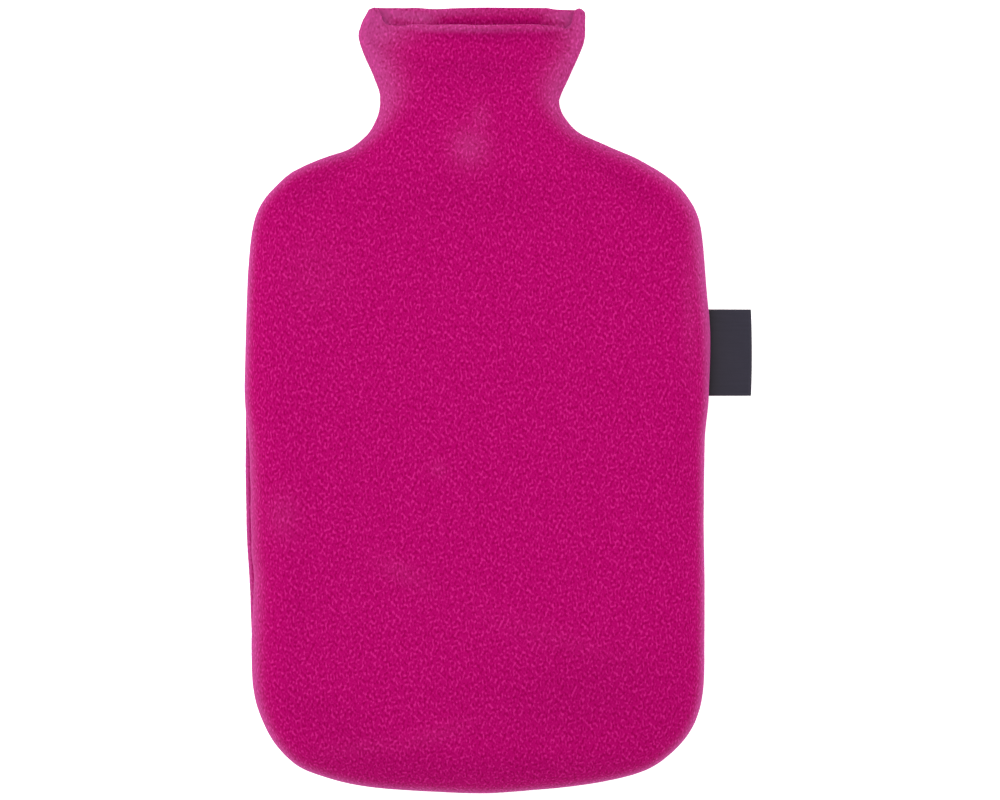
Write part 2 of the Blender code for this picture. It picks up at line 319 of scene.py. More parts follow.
def foot_line(side, degrees):
    """The foot's curve on one side, from 0 degrees at the side's end to 90 at the middle."""
    width = OUTLINE[-1].left if side < 0 else OUTLINE[-1].right
    angle = np.radians(degrees)
    down = np.abs(np.sin(angle)) ** (2 / FOOT_POWER)
    across = side * width * np.abs(np.cos(angle)) ** (2 / FOOT_POWER) + FOOT_SHIFT * down
    dip = FOOT_DIP * down * np.exp(-(((across - FOOT_DIP_PLACE) / FOOT_DIP_HALF) ** 2))
    up = FOOT_START - FOOT_DEPTH * down + FOOT_LEAN * across * down**2 - dip
    line = np.stack([across, up], axis=1)
    for push in FOOT_PUSHES:
        if push.side == side:
            pushed = push.out * np.exp(-(((degrees - push.degrees) / push.reach) ** 2))
            line += pushed[:, None] * np.stack([side * np.cos(angle), -np.sin(angle)], axis=1)
    return line


def side_line(side):
    """One side of the outline, from the mouth to the foot's corner."""
    column = "left" if side < 0 else "right"
    up = np.linspace(MOUTH, FOOT_START, FINE_STEPS)
    straight = np.stack([side * between(up, OUTLINE, column), up], axis=1)
    return np.concatenate([straight, foot_line(side, np.linspace(0, FOOT_CORNER, FINE_STEPS // 4)[1:])])


def spread(line, count):
    """count + 1 points along a line, closer where it bends, each with the unit vector into the panel."""
    step = np.diff(line, axis=0)
    turn = np.abs(np.gradient(np.unwrap(np.arctan2(step[:, 1], step[:, 0]))))
    measure = np.concatenate([[0], np.cumsum(np.hypot(*step.T) + BEND_CARE * turn)])
    along = np.gradient(line, axis=0)
    along /= np.hypot(*along.T)[:, None]
    inward = np.stack([-along[:, 1], along[:, 0]], axis=1)
    wanted = np.linspace(0, measure[-1], count + 1)
    both = np.concatenate([line, inward], axis=1)
    return np.stack([np.interp(wanted, measure, column) for column in both.T], axis=1)


def softened(values, steps):
    """The rows of a table evened out over a number of steps along it."""
    reach = np.arange(-3 * steps, 3 * steps + 1)
    weight = np.exp(-0.5 * (reach / steps) ** 2)
    weight /= weight.sum()
    padded = np.pad(values, ((3 * steps, 3 * steps), (0, 0)), mode="edge")
    return np.stack([np.convolve(column, weight, "valid") for column in padded.T], axis=1)


def seam_points():
    """The seam from the mouth's left end round the foot to its right: plan points and inward directions."""
    left = spread(side_line(-1), SIDE_STEPS)
    right = spread(side_line(1), SIDE_STEPS)
    right[:, 2:] *= -1
    left_foot = foot_line(-1, np.linspace(FOOT_CORNER, 90, FINE_STEPS))
    right_foot = foot_line(1, np.linspace(90, FOOT_CORNER, FINE_STEPS)[1:])
    foot = spread(np.concatenate([left_foot, right_foot]), FOOT_STEPS)
    line = np.concatenate([left[:-1], foot, right[-2::-1]])
    point, inward = line[:, :2], softened(line[:, 2:], TURN_STEPS)
    level = ease((point[:, 1] - NECK) / (MOUTH - NECK))[:, None]
    inward = inward * (1 - level) + np.sign(inward[:, :1]) * [1, 0] * level
    return point, inward / np.hypot(*inward.T)[:, None]


def half_width(x, y):
    """How far the outline stands out at this height on a point's own side."""
    return np.where(x < 0, between(y, OUTLINE, "left"), between(y, OUTLINE, "right"))


def across_mouth(x, y):
    """Where the lengthwise line through a point meets the mouth."""
    return np.clip(x / half_width(x, y), -1, 1) * np.where(x < 0, OUTLINE[0].left, OUTLINE[0].right)


def lipped(height, x, y, side):
    """The height drawn towards the lips' own near the mouth."""
    near = ease((y - MOUTH + LIP_REACH) / LIP_REACH)
    lip = between(y, PROFILE, "seam") + side * between(across_mouth(x, y), LIPS, "off")
    return height + (lip - height) * near


def front_height(x, y, rise):
    """Height of the front; rise goes from 0 at the seam to 1 past the rounded edge."""
    half = half_width(x, y)
    foot = np.clip((FOOT_START - y) / FOOT_DEPTH, 0, 1)
    crown = np.clip(1 - (x / half) ** 2, 0, 1) * (1 - foot**2)
    low = between(y, PROFILE, "seam") + SEAM_GAP / 2 + SEAM_ROLL
    height = low + (between(y, PROFILE, "front") - low) * rise * (EDGE_SHARE + (1 - EDGE_SHARE) * crown)
    for swell in FRONT_SWELLS:
        height = height + swell.height * rise * patch(x, y, swell)
    return lipped(height, x, y, 1)


# The place in the seam where the label's cut ends are caught, and how far it holds each panel off the middle
CAUGHT_MIDDLE = 0.0208
CAUGHT_HALF = 0.0192
CAUGHT_ROOM = 0.0007
CAUGHT_EASE = 0.006


def seam_half_gap(point):
    """Half the gap between the panels along the seam, wider at the label."""
    beside = 1 - ease((np.abs(point[:, 1] - CAUGHT_MIDDLE) - CAUGHT_HALF) / CAUGHT_EASE)
    return SEAM_GAP / 2 + (CAUGHT_ROOM - SEAM_GAP / 2) * beside * (point[:, 0] > 0)


LUMPS = 32  # how many lumps there are each way before they repeat


def unevenness(points, size, seed):
    """Soft random unevenness from about -1 to 1, with lumps of the given size."""
    lattice = np.random.default_rng(seed).uniform(-1, 1, (LUMPS, LUMPS, LUMPS))
    place = points / size + LUMPS / 2 + 0.5
    cell = np.floor(place).astype(int)
    share = ease(place - cell)
    total = 0
    for corner in np.ndindex(2, 2, 2):
        weight = np.prod(np.where(corner, share, 1 - share), axis=1)
        total = total + weight * lattice[tuple((cell + corner).T % LUMPS)]
    return total


# Low on the left, between these places, the front's edge is drawn in, and a strip of the back shows beside it
TUCK = 0.0025
TUCK_TOP = 0.006
TUCK_BOTTOM = -0.112
TUCK_EASE = 0.036
TUCK_UNEVEN = 0.12  # the share by which it wanders, with lumps this long
TUCK_LUMPS = 0.009
TUCK_SEED = 31
SIDE_START = 0.080
SIDE_EASE = 0.010


def face_points(height, edge, side, tuck):
    """The outer face as two grids: rings along the seam, from the cut edge in, and the field inside them.

    The last result is how far each point of the rings lies from the field when the cloth is laid flat."""
    point, inward = seam_points()
    x, y = point.T
    low_left = ease((-x - SIDE_START) / SIDE_EASE) * ease((y - TUCK_BOTTOM) / TUCK_EASE)
    low_left *= ease((TUCK_TOP - y) / TUCK_EASE)
    uneven = 1 + TUCK_UNEVEN * unevenness(np.column_stack([point, 0 * x]), TUCK_LUMPS, TUCK_SEED)
    point = point + inward * (tuck * low_left * uneven)[:, None]
    base = between(point[:, 1], PROFILE, "seam") + side * seam_half_gap(point)
    parting = side * (seam_half_gap(point) - SEAM_GAP / 2)
    trimmed = ease((point[:, 1] - MOUTH + 2 * HEM_DEPTH) / HEM_DEPTH)
    allowance = SEAM_ALLOWANCE + (MOUTH_ALLOWANCE - SEAM_ALLOWANCE) * trimmed
    rings = []
    for share in np.linspace(1, 0, FLANGE_STEPS + 1)[:-1]:
        plan = point + inward * (SEAM_ROLL + (allowance - SEAM_ROLL) * share)[:, None]
        rings.append(np.column_stack([plan, base]))
    for angle in np.radians(np.linspace(-90, 0, ROLL_STEPS + 1)):
        plan = point + inward * SEAM_ROLL * (1 - math.cos(angle))
        rings.append(np.column_stack([plan, base + side * SEAM_ROLL * (1 + math.sin(angle))]))
    for angle in np.radians(np.linspace(0, 90, EDGE_STEPS + 1)[1:]):
        plan = point + inward * edge * (1 - math.cos(angle))
        z = height(plan[:, 0], plan[:, 1], math.sin(angle))
        rings.append(np.column_stack([plan, z + parting * (1 - math.sin(angle))]))
    band = np.array(rings)

    inner = band[-1]
    left, foot, right = inner[: SIDE_STEPS + 1], inner[SIDE_STEPS:-SIDE_STEPS], inner[: -SIDE_STEPS - 2 : -1]
    u = np.linspace(0, 1, FOOT_STEPS + 1)[None, :, None]
    v = np.linspace(0, 1, SIDE_STEPS + 1)[:, None, None]
    sag = foot - (left[-1] * (1 - u[0]) + right[-1] * u[0])
    field = left[:, None, :] * (1 - u) + right[:, None, :] * u + sag[None] * v
    field[:, :, 2] = height(field[:, :, 0], field[:, :, 1], 1.0)

    step = np.linalg.norm(np.diff(band, axis=0), axis=2)
    away = np.concatenate([np.cumsum(step[::-1], axis=0)[::-1], np.zeros((1, len(point)))])
    return point, band, field, -inward * away[:, :, None]


def number_grids(band_shape, field_shape, start):
    """Vertex numbers of a band and its field, which share the band's last ring."""
    rings, count = band_shape
    rows, columns = field_shape
    band = start + np.arange(rings * count).reshape(rings, count)
    field = np.zeros(field_shape, int)
    free = (rows - 1) * (columns - 2)
    field[:-1, 1:-1] = start + rings * count + np.arange(free).reshape(rows - 1, columns - 2)
    field[:, 0] = band[-1, :rows]
    field[-1, :] = band[-1, rows - 1 : rows - 1 + columns]
    field[:, -1] = band[-1, ::-1][:rows]
    return band, field


def quads(index):
    """The four-cornered faces of a grid of vertex numbers."""
    corners = [index[:-1, :-1], index[:-1, 1:], index[1:, 1:], index[1:, :-1]]
    return np.stack([corner.reshape(-1) for corner in corners], axis=1).tolist()


def join(fine, coarse, picks):
    """Triangles between a fine edge and a coarse one; picks are the coarse points' places on the fine."""
    made = []
    for k in range(len(picks) - 1):
        first, last = picks[k], picks[k + 1]
        middle = (first + last) // 2
        made += [(coarse[k], fine[j + 1], fine[j]) for j in range(first, middle)]
        made.append((coarse[k], coarse[k + 1], fine[middle]))
        made += [(coarse[k + 1], fine[j + 1], fine[j]) for j in range(middle, last)]
    return made


def corner_normals(points, faces):
    """The outward direction at each point, from the faces round it."""
    quad = np.array(faces)
    a, b, c, d = (points[quad[:, i]] for i in range(4))
    across = np.cross(c - a, d - b)
    normal = np.zeros_like(points)
    for i in range(4):
        np.add.at(normal, quad[:, i], across)
    return normal / np.maximum(np.linalg.norm(normal, axis=1), 1e-12)[:, None]


PILE_LUMPS = 0.00004
PILE_LUMP_SIZE = 0.0021
CLOTH_WAVES = 0.00010
CLOTH_WAVE_SIZE = 0.022
SMALL_WAVES = 0.6  # the share of the smaller waves
SMALL_WAVE_SIZE = 0.010


def pile_lift(points, seed):
    """How far the brushed face stands out or in: fine lumps of pile on slow waves of the cloth."""
    waves = unevenness(points, CLOTH_WAVE_SIZE, seed)
    waves = waves + SMALL_WAVES * unevenness(points, SMALL_WAVE_SIZE, seed + 1)
    return PILE_LUMPS * unevenness(points, PILE_LUMP_SIZE, seed + 2) + CLOTH_WAVES * waves


def cloth_places(points, seam, field, reach, outer_band, outer_field):
    """The place of each outer point on the cloth laid flat, and the flat mouth's on the line through it."""
    cloth = points.copy()
    over = np.hypot(np.diff(field[:, :, 0], axis=1), np.diff(field[:, :, 2], axis=1))
    over = np.cumsum(np.pad(over, ((0, 0), (1, 0))), axis=1)
    down = np.hypot(np.diff(field[::-1, :, 1], axis=0), np.diff(field[::-1, :, 2], axis=0))
    down = np.cumsum(np.pad(down, ((1, 0), (0, 0))), axis=0)[::-1]
    middle = slice(FOOT_STEPS // 2, FOOT_STEPS // 2 + 1)
    cloth[outer_field, 0] = over - over[:, middle] + field[:, middle, 0]
    cloth[outer_field, 1] = down + field[-1:, :, 1]
    cloth[outer_band, :2] = cloth[outer_band[-1], :2] + reach
    mouth = np.zeros(len(points))
    mouth[outer_band] = np.where(seam[:, 0] < 0, cloth[outer_band[:, :1], 1], cloth[outer_band[:, -1:], 1])
    mouth[outer_field] = cloth[outer_field[:1], 1]
    return cloth, mouth


def hem_shape(x, y, rim):
    """The cloth's thickness at each point, and the radius and the drop of the rim on the line through it."""
    doubled = (HEM_THICKNESS - FLEECE) * (1 - ease((np.abs(x) - HEM_HALF) / HEM_RISE))
    thickness = FLEECE + doubled * ease((y - MOUTH + HEM_DEPTH) / HEM_STEP)
    radius = (FLEECE + doubled) / 2
    return thickness, radius, between(across_mouth(x, y), rim, "drop") + radius


SEAM_DRAWN = 0.0080  # at the seam only this last stretch below the mouth is drawn down
DRAWN_POWER = 4  # how squarely the drawn part ends towards the neck


def drawn_down(x, y, rim_drop, band, outer_band):
    """How far each outer point is drawn towards the foot, so that the mouth's edge ends at its rim."""
    beside = np.clip(np.abs(x) / half_width(x, y), 0, 1) ** DRAWN_POWER
    start = NECK + (MOUTH - SEAM_DRAWN - NECK) * beside
    drop = rim_drop * ease((y - start) / (MOUTH - start))
    for k in range(FLANGE_STEPS + 2):
        tucked = FLANGE_DROP * (1 - ease(k / (FLANGE_STEPS + 2)))
        drop[outer_band[k]] += tucked * ease((band[k, :, 1] - MOUTH + FLANGE_DROP_REACH) / FLANGE_DROP_REACH)
    return drop


def mouth_edge(band, field):
    """The numbers of a face's points along the mouth, from one end of the seam to the other."""
    return np.concatenate([band[:-1, 0], field[0], band[-2::-1, -1]])


def rolled_rim(edge, inner_edge, edge_cloth, seed):
    """Half a roll from the outer face's mouth edge to the inner one's: its points and their flat places."""
    centre = (edge + inner_edge) / 2
    spoke = edge - centre
    radius = np.linalg.norm(spoke, axis=1)[:, None]
    out = np.array([[0, 1, 0]]) - spoke * (spoke[:, 1:2] / radius**2)
    out /= np.linalg.norm(out, axis=1)[:, None]
    points = []
    cloth = []
    for step in range(1, RIM_STEPS):
        angle = math.pi * step / RIM_STEPS
        way = spoke / radius * math.cos(angle) + out * math.sin(angle)
        on_roll = centre + way * radius
        lift = pile_lift(on_roll, seed) * (1 - step / RIM_STEPS)
        points.append(on_roll + way * lift[:, None])
        cloth.append(edge_cloth + radius * angle * [0, 1, 0])
    return points, cloth


STITCH_PITCH = 0.0032
STITCH_DIMPLE = 0.00022
DIMPLE_RING = 3  # which ring past the allowance each stitch draws in most
DIMPLE_RINGS = 5
SUNK_RINGS = 4  # how many rings past the allowance lie in the seam's groove
# The shade painted in the seam's groove, darker at each stitch
SEAM_SUNK = 0.60
SEAM_SUNK_LEAST = 0.75  # the share of the painted shade between two stitches


def stitched(seam, outer_band, total):
    """For each outer point: how brushed it is, how far a stitch draws it in, how deep in the seam it lies,
    and how much shade is painted there, more at each stitch."""
    stitches = np.cumsum(np.hypot(*np.diff(seam, axis=0, prepend=seam[:1]).T)) / STITCH_PITCH
    pull = 0.5 + 0.5 * np.cos(2 * math.pi * stitches)
    brushed = np.ones(total)
    dimple, in_seam, sunk = np.zeros((3, total))
    for k, ring in enumerate(outer_band):
        brushed[ring] = ease((k - FLANGE_STEPS - 1) / ROLL_STEPS)
        dimple[ring] = STITCH_DIMPLE * ease(1 - abs(k - FLANGE_STEPS - DIMPLE_RING) / DIMPLE_RINGS) * pull
        in_seam[ring] = ease((FLANGE_STEPS + SUNK_RINGS - k) / SUNK_RINGS)
        sunk[ring] = SEAM_SUNK * in_seam[ring] * (SEAM_SUNK_LEAST + (1 - SEAM_SUNK_LEAST) * pull)
    return brushed, dimple, in_seam, sunk


def outside_pile(x, y, seam, rim, strips, marks, in_seam, sunk):
    """The light and the shade painted at each outer point: sheen by the seam and along the rim, light and
    shade on the marks, and shade in the seam's groove.
    """
    tree = kdtree.KDTree(len(seam))
    for i, (sx, sy) in enumerate(seam):
        tree.insert((sx, sy, 0), i)
    tree.balance()
    away = np.array([tree.find((px, py, 0))[2] for px, py in zip(x, y)])
    width = np.where(x < 0, between(y, strips, "left"), between(y, strips, "right"))
    pale = np.where(x < 0, between(y, strips, "left_pale"), between(y, strips, "right_pale"))
    at_seam = (SEAM_LEAST + (1 - SEAM_LEAST) * pale) * np.exp(-((away / SEAM_STRIP) ** 2))
    at_rim = between(across_mouth(x, y), rim, "pale") * np.exp(-(((MOUTH - y) / RIM_STRIP) ** 2))
    pressed = np.maximum(pale * np.exp(-((away / width) ** 2)), np.maximum(at_seam, at_rim))
    pressed *= 1 - in_seam
    for mark in marks:
        pressed = np.maximum(pressed, mark.amount * patch(x, y, mark))
        sunk = np.maximum(sunk, -mark.amount * patch(x, y, mark))
    return pressed, sunk


# Sheen is painted on the inside left and right of these places and along its rim, with more light painted
# into the mouth's corners against their shade, and shade painted deeper in the mouth
INSIDE_LEFT = 0.014
INSIDE_RIGHT = 0.027
INSIDE_EASE = 0.011
INSIDE_PALE = 0.84
INSIDE_REACH = 0.020  # how soon it is so, up from the neck
INSIDE_CORNER = 0.036
INSIDE_TURN = 0.007
INSIDE_CATCH = 0.34  # how much more light is painted into the corners, against their shade
INSIDE_STRIP = 0.0016  # the strip of painted sheen along its rim
INSIDE_DEEP = 0.0022  # how soon shade is painted, down from the rim
INSIDE_SUNK = 0.55
INSIDE_FADE = 0.60  # how much of the paleness is lost down there


def inside_pile(x, y, rim):
    """The light and the shade painted at each inner point."""
    smooth = np.maximum(ease((-x - INSIDE_LEFT) / INSIDE_EASE), ease((x - INSIDE_RIGHT) / INSIDE_EASE))
    corner = ease((np.abs(x) - INSIDE_CORNER) / INSIDE_TURN)
    deeper = ease((MOUTH - INSIDE_DEEP - y) / INSIDE_DEEP)
    at_rim = between(x, rim, "pale") * np.exp(-(((MOUTH - y) / INSIDE_STRIP) ** 2))
    even = INSIDE_PALE * smooth * (1 - INSIDE_FADE * deeper * (1 - corner)) + INSIDE_CATCH * corner
    pressed = np.maximum(even * ease((y - NECK) / INSIDE_REACH), at_rim)
    return pressed, INSIDE_SUNK * (1 - smooth) * deeper


def inner_grids(outer_band, outer_field, start):
    """The inner face as grids of vertex numbers, and the outer point in front of each of its points.

    The last two results are its points' places along the outer face's cut edge and along the mouth."""
    rings, count = outer_band.shape
    rows = list(range(INNER_FINE_ROWS)) + list(range(INNER_FINE_ROWS, SIDE_STEPS, INNER_STEP)) + [SIDE_STEPS]
    columns = list(range(0, FOOT_STEPS + 1, INNER_STEP))
    picks = [0, FLANGE_STEPS] + list(range(FLANGE_STEPS + 2, rings - 1, INNER_STEP)) + [rings - 1]
    run = rows + [SIDE_STEPS + c for c in columns[1:-1]] + [count - 1 - r for r in rows[::-1]]
    inner_band, inner_field = number_grids((len(picks), len(run)), (len(rows), len(columns)), start)
    partner = np.zeros(inner_field.max() + 1 - start, int)
    partner[inner_band - start] = outer_band[np.ix_(picks, run)]
    partner[inner_field - start] = outer_field[np.ix_(rows, columns)]
    last = 2 * (rings - 1) + FOOT_STEPS
    mouth_run = picks[:-1] + [rings - 1 + c for c in columns] + [last - r for r in picks[-2::-1]]
    return inner_band, inner_field, partner, run, mouth_run


def put_down(name, data):
    """A new object in the scene."""
    made = bpy.data.objects.new(name, data)
    bpy.context.collection.objects.link(made)
    return made


def new_mesh(name, points, faces, **values):
    """A smooth mesh, with the values that its material reads at its points."""
    mesh = bpy.data.meshes.new(name)
    mesh.from_pydata(points.tolist(), [], [list(map(int, face)) for face in faces])
    mesh.shade_smooth()
    for key, value in values.items():
        kind, field = ("FLOAT", "value") if value.ndim == 1 else ("FLOAT_VECTOR", "vector")
        mesh.attributes.new(key, kind, "POINT").data.foreach_set(field, value.reshape(-1))
    return mesh


def sewn_panel(name, height, edge, side, tuck, rim, strips, marks, seed):
    """A whole panel as one closed sheet: outer face, rolled rim, and a plainer inner face a layer deeper.

    Its values "pressed" say where light is painted on: sheen by the seam, along the rim and on the inside's
    sides, light on the marks and in the inside's corners; the pile stands lower there. "sunk" says where
    shade is painted: in the seam's groove, more at each stitch, in hollows and deep in the mouth. "cloth" is
    the place of each point on the cloth laid flat, so that the pile runs evenly over the edges."""
    seam, band, field, reach = face_points(height, edge, side, tuck)
    outer_band, outer_field = number_grids(band.shape[:2], field.shape[:2], 0)
    points = np.zeros((outer_field.max() + 1, 3))
    points[outer_band] = band
    points[outer_field] = field
    x, y = points[:, 0], points[:, 1]
    cloth, mouth_cloth = cloth_places(points, seam, field, reach, outer_band, outer_field)
    thickness, rim_radius, rim_drop = hem_shape(x, y, rim)
    drop = drawn_down(x, y, rim_drop, band, outer_band)
    faces = quads(outer_band) + quads(outer_field.T)
    if side < 0:
        faces = [face[::-1] for face in faces]
    normal = corner_normals(points, faces)
    inner = points - normal * thickness[:, None]

    # The inner face, the rolled rim between it and the outer one, and the cut edge in the seam
    inner_band, inner_field, partner, run, mouth_run = inner_grids(outer_band, outer_field, len(points))
    more = [face[::-1] for face in quads(inner_band) + quads(inner_field.T)]
    mouth = mouth_edge(outer_band, outer_field)
    inner_mouth = mouth_edge(inner_band, inner_field)
    rim_points, rim_cloth = rolled_rim(points[mouth], inner[mouth], cloth[mouth], seed)
    rim_numbers = len(points) + len(partner) + np.arange((RIM_STEPS - 1) * len(mouth))
    rim_index = np.concatenate([mouth[None], rim_numbers.reshape(RIM_STEPS - 1, len(mouth))])
    more += quads(rim_index)
    more += [face[::-1] for face in join(rim_index[-1], inner_mouth, mouth_run)]
    more.append([inner_mouth[0], *rim_index[:, 0]])
    more.append([*rim_index[::-1, -1], inner_mouth[-1]])
    more += join(outer_band[0], inner_band[0], run)
    if side < 0:
        more = [list(face)[::-1] for face in more]

    # The stitches and the pile
    brushed, dimple, in_seam, sunk = stitched(seam, outer_band, len(points))
    outer = points + normal * (pile_lift(points, seed) * brushed - dimple)[:, None]
    pressed, sunk = outside_pile(x, y, seam, rim, strips, marks, in_seam, sunk)
    inner_pressed, inner_sunk = inside_pile(x[partner], y[partner], rim)
    rim_pressed = np.tile(between(across_mouth(x[mouth], y[mouth]), rim, "pale"), RIM_STEPS - 1)

    # The mouth drawn down to its rim, and the flat place of each point, where the inner face follows past it
    whole = np.concatenate([outer, inner[partner], *rim_points])
    whole_drop = np.concatenate([drop, drop[partner], np.tile(drop[mouth], RIM_STEPS - 1)])
    whole[:, 1] -= whole_drop
    whole[:, 2] = np.maximum(whole[:, 2], 0)
    inner_cloth = cloth[partner]
    turned_in = 2 * (mouth_cloth - rim_drop) + math.pi * rim_radius + drop
    inner_cloth[:, 1] = turned_in[partner] - inner_cloth[:, 1] + drop[partner]
    laid_flat = np.concatenate([cloth, inner_cloth, *rim_cloth])
    laid_flat[:, 1] -= whole_drop
    laid_flat[:, 2] = 0
    pressed = np.concatenate([pressed, inner_pressed, rim_pressed])
    sunk = np.concatenate([sunk, inner_sunk, np.zeros(len(rim_pressed))])
    return put_down(name, new_mesh(name, whole, faces + more, pressed=pressed, sunk=sunk, cloth=laid_flat))


front = sewn_panel(
    "front_panel_cloth", front_height, FRONT_EDGE, 1, TUCK, FRONT_RIM, FRONT_STRIPS, FRONT_MARKS, 5
)


def new_finish(name, **settings):
    """A new material with its tree of nodes and its shader; the settings are the shader's own."""
    made = bpy.data.materials.new(name)
    made.use_nodes = True
    shader = made.node_tree.nodes["Principled BSDF"]
    for key, value in settings.items():
        shader.inputs[key.replace("_", " ")].default_value = value
    return made, made.node_tree, shader


def shader_node(tree, kind, **settings):
    """A shader node with its settings; keys with a capital letter are its input sockets."""
    node = tree.nodes.new(kind)
    for key, value in settings.items():
        if key[0].isupper():
            node.inputs[key.replace("_", " ")].default_value = value
        else:
            setattr(node, key, value)
    return node


def read_value(tree, name):
    """A value that the mesh has at its points."""
    return shader_node(tree, "ShaderNodeAttribute", attribute_name=name).outputs["Fac"]


def reckoned(tree, kind, first, second, third=0.0):
    """The result of a sum of two or three values."""
    made = shader_node(tree, "ShaderNodeMath", operation=kind)
    for socket, value in zip(made.inputs, (first, second, third)):
        if isinstance(value, float):
            socket.default_value = value
        else:
            tree.links.new(value, socket)
    return made.outputs[0]


def blended(tree, kind, share, first, second):
    """Two colours put together, as much as the share says."""
    made = shader_node(tree, "ShaderNodeMix", data_type="RGBA", blend_type=kind)
    for socket, value in zip((made.inputs[0], made.inputs[6], made.inputs[7]), (share, first, second)):
        if isinstance(value, tuple):
            socket.default_value = (*value, 1)
        else:
            tree.links.new(value, socket)
    return made.outputs[2]


def toned(tree, value, stops):
    """The colour that goes with a value; each stop is a value from 0 to 1 and its colour."""
    made = shader_node(tree, "ShaderNodeValToRGB")
    elements = made.color_ramp.elements
    elements[0].position, elements[1].position = stops[0][0], stops[-1][0]
    elements[0].color, elements[1].color = (*stops[0][1], 1), (*stops[-1][1], 1)
    for place, colour in stops[1:-1]:
        elements.new(place).color = (*colour, 1)
    tree.links.new(value, made.inputs["Fac"])
    return made.outputs["Color"]


def raised(tree, value, strength, distance, shader):
    """A fine relief on the surface, from a value."""
    bump = shader_node(tree, "ShaderNodeBump", Strength=strength, Distance=distance)
    tree.links.new(value, bump.inputs["Height"])
    tree.links.new(bump.outputs["Normal"], shader.inputs["Normal"])


# How high in the pile each colour lies, from the pits between the tufts to their tips: partly their own
# tones, partly shade painted into the pits and light painted onto the tips
FLEECE_TONES = [
    (0.24, (0.275, 0.0003, 0.070)),
    (0.42, (0.325, 0.0010, 0.096)),
    (0.54, (0.343, 0.0014, 0.102)),
    (0.84, (0.480, 0.0112, 0.172)),
]
PALE = (0.046, 0.0385, 0.084)  # the painted sheen and light that is added to any of them
# The colour that the painted shade multiplies them by
SEAM_SHADE = (0.62, 0.40, 0.60)
NAP_TURN = 0.6  # the nap lies aslant, and its tufts are longer one way than the other
NAP_STRETCH = (1.18, 0.80, 1.0)

# How many tufts, fibres and so on there are to a metre, more or less
TUFTS = 880.0
CLUMPS = 640.0  # where they stand deep or shallow
FIBRES = 2300.0
FUZZ = 6200.0
DRIFTS = 60.0


def fleece(name, shade, offset):
    """Brushed fleece: short curled tufts, paler at their tips and darker between, partly their own tone and
    partly painted light and shade, with more light and shade painted on where the mesh says.
    """
    made, tree, shader = new_finish(
        name,
        Specular_IOR_Level=0.01,
        Sheen_Weight=0.22,
        Sheen_Roughness=0.30,
        Sheen_Tint=(1.0, 0.34, 0.84, 1),
    )
    where = shader_node(tree, "ShaderNodeAttribute", attribute_name="cloth")
    placed = shader_node(
        tree, "ShaderNodeMapping", Location=offset, Rotation=(0, 0, NAP_TURN), Scale=NAP_STRETCH
    )
    tree.links.new(where.outputs["Vector"], placed.inputs["Vector"])

    def cloud(scale, detail, roughness):
        made = shader_node(tree, "ShaderNodeTexNoise", noise_dimensions="2D", Scale=scale, Detail=detail)
        made.inputs["Roughness"].default_value = roughness
        tree.links.new(placed.outputs["Vector"], made.inputs["Vector"])
        return made.outputs["Fac"]

    tufts = cloud(TUFTS, 0.0, 0.5)
    fibres = cloud(FIBRES, 1.0, 0.6)
    pressed = read_value(tree, "pressed")
    sunk = read_value(tree, "sunk")

    # The tufts stand in clumps, and less where light is painted on
    flattened = reckoned(tree, "MULTIPLY", pressed, pressed)
    flattened = reckoned(tree, "MINIMUM", flattened, 1.0)
    standing = reckoned(tree, "MULTIPLY_ADD", cloud(CLUMPS, 0.0, 0.5), 2.6, -0.35)
    left_standing = reckoned(tree, "MULTIPLY_ADD", flattened, -0.42, 1.0)
    standing = reckoned(tree, "MULTIPLY", standing, left_standing)
    pile = reckoned(tree, "MULTIPLY_ADD", fibres, 0.30, tufts)
    pile = reckoned(tree, "MULTIPLY_ADD", cloud(FUZZ, 1.0, 0.6), 0.20, pile)
    pile = reckoned(tree, "SUBTRACT", pile, 0.75)
    pile = reckoned(tree, "MULTIPLY_ADD", pile, standing, 0.46)
    pile = reckoned(tree, "MULTIPLY_ADD", cloud(DRIFTS, 2.0, 0.5), 0.06, pile)

    # Their colour: the painted sheen and light added, more on the tufts, and the painted shade multiplied in
    caught = reckoned(tree, "MULTIPLY", pressed, reckoned(tree, "MULTIPLY_ADD", pile, 1.3, 0.42))
    colour = blended(tree, "ADD", caught, toned(tree, pile, FLEECE_TONES), PALE)
    colour = blended(tree, "MULTIPLY", sunk, colour, SEAM_SHADE)
    dyed = shader_node(tree, "ShaderNodeHueSaturation", Value=shade)
    tree.links.new(colour, dyed.inputs["Color"])
    tree.links.new(dyed.outputs["Color"], shader.inputs["Base Color"])

    tree.links.new(reckoned(tree, "MULTIPLY_ADD", fibres, 0.25, 0.72), shader.inputs["Roughness"])
    relief = reckoned(tree, "MULTIPLY", pile, reckoned(tree, "MULTIPLY_ADD", pressed, -0.55, 1.0))
    raised(tree, relief, 0.4, 0.0006, shader)
    return made


front.data.materials.append(fleece("front_fleece_finish", 1.0, (0.0, 0.0, 0.0)))
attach(front, "root")
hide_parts("front_panel")


# ---- Back panel ----
# The same outline in the same fleece, sewn to the front and flat where the cover lies on it. Its hem stands
# above the front's, so its inside shows in the mouth.

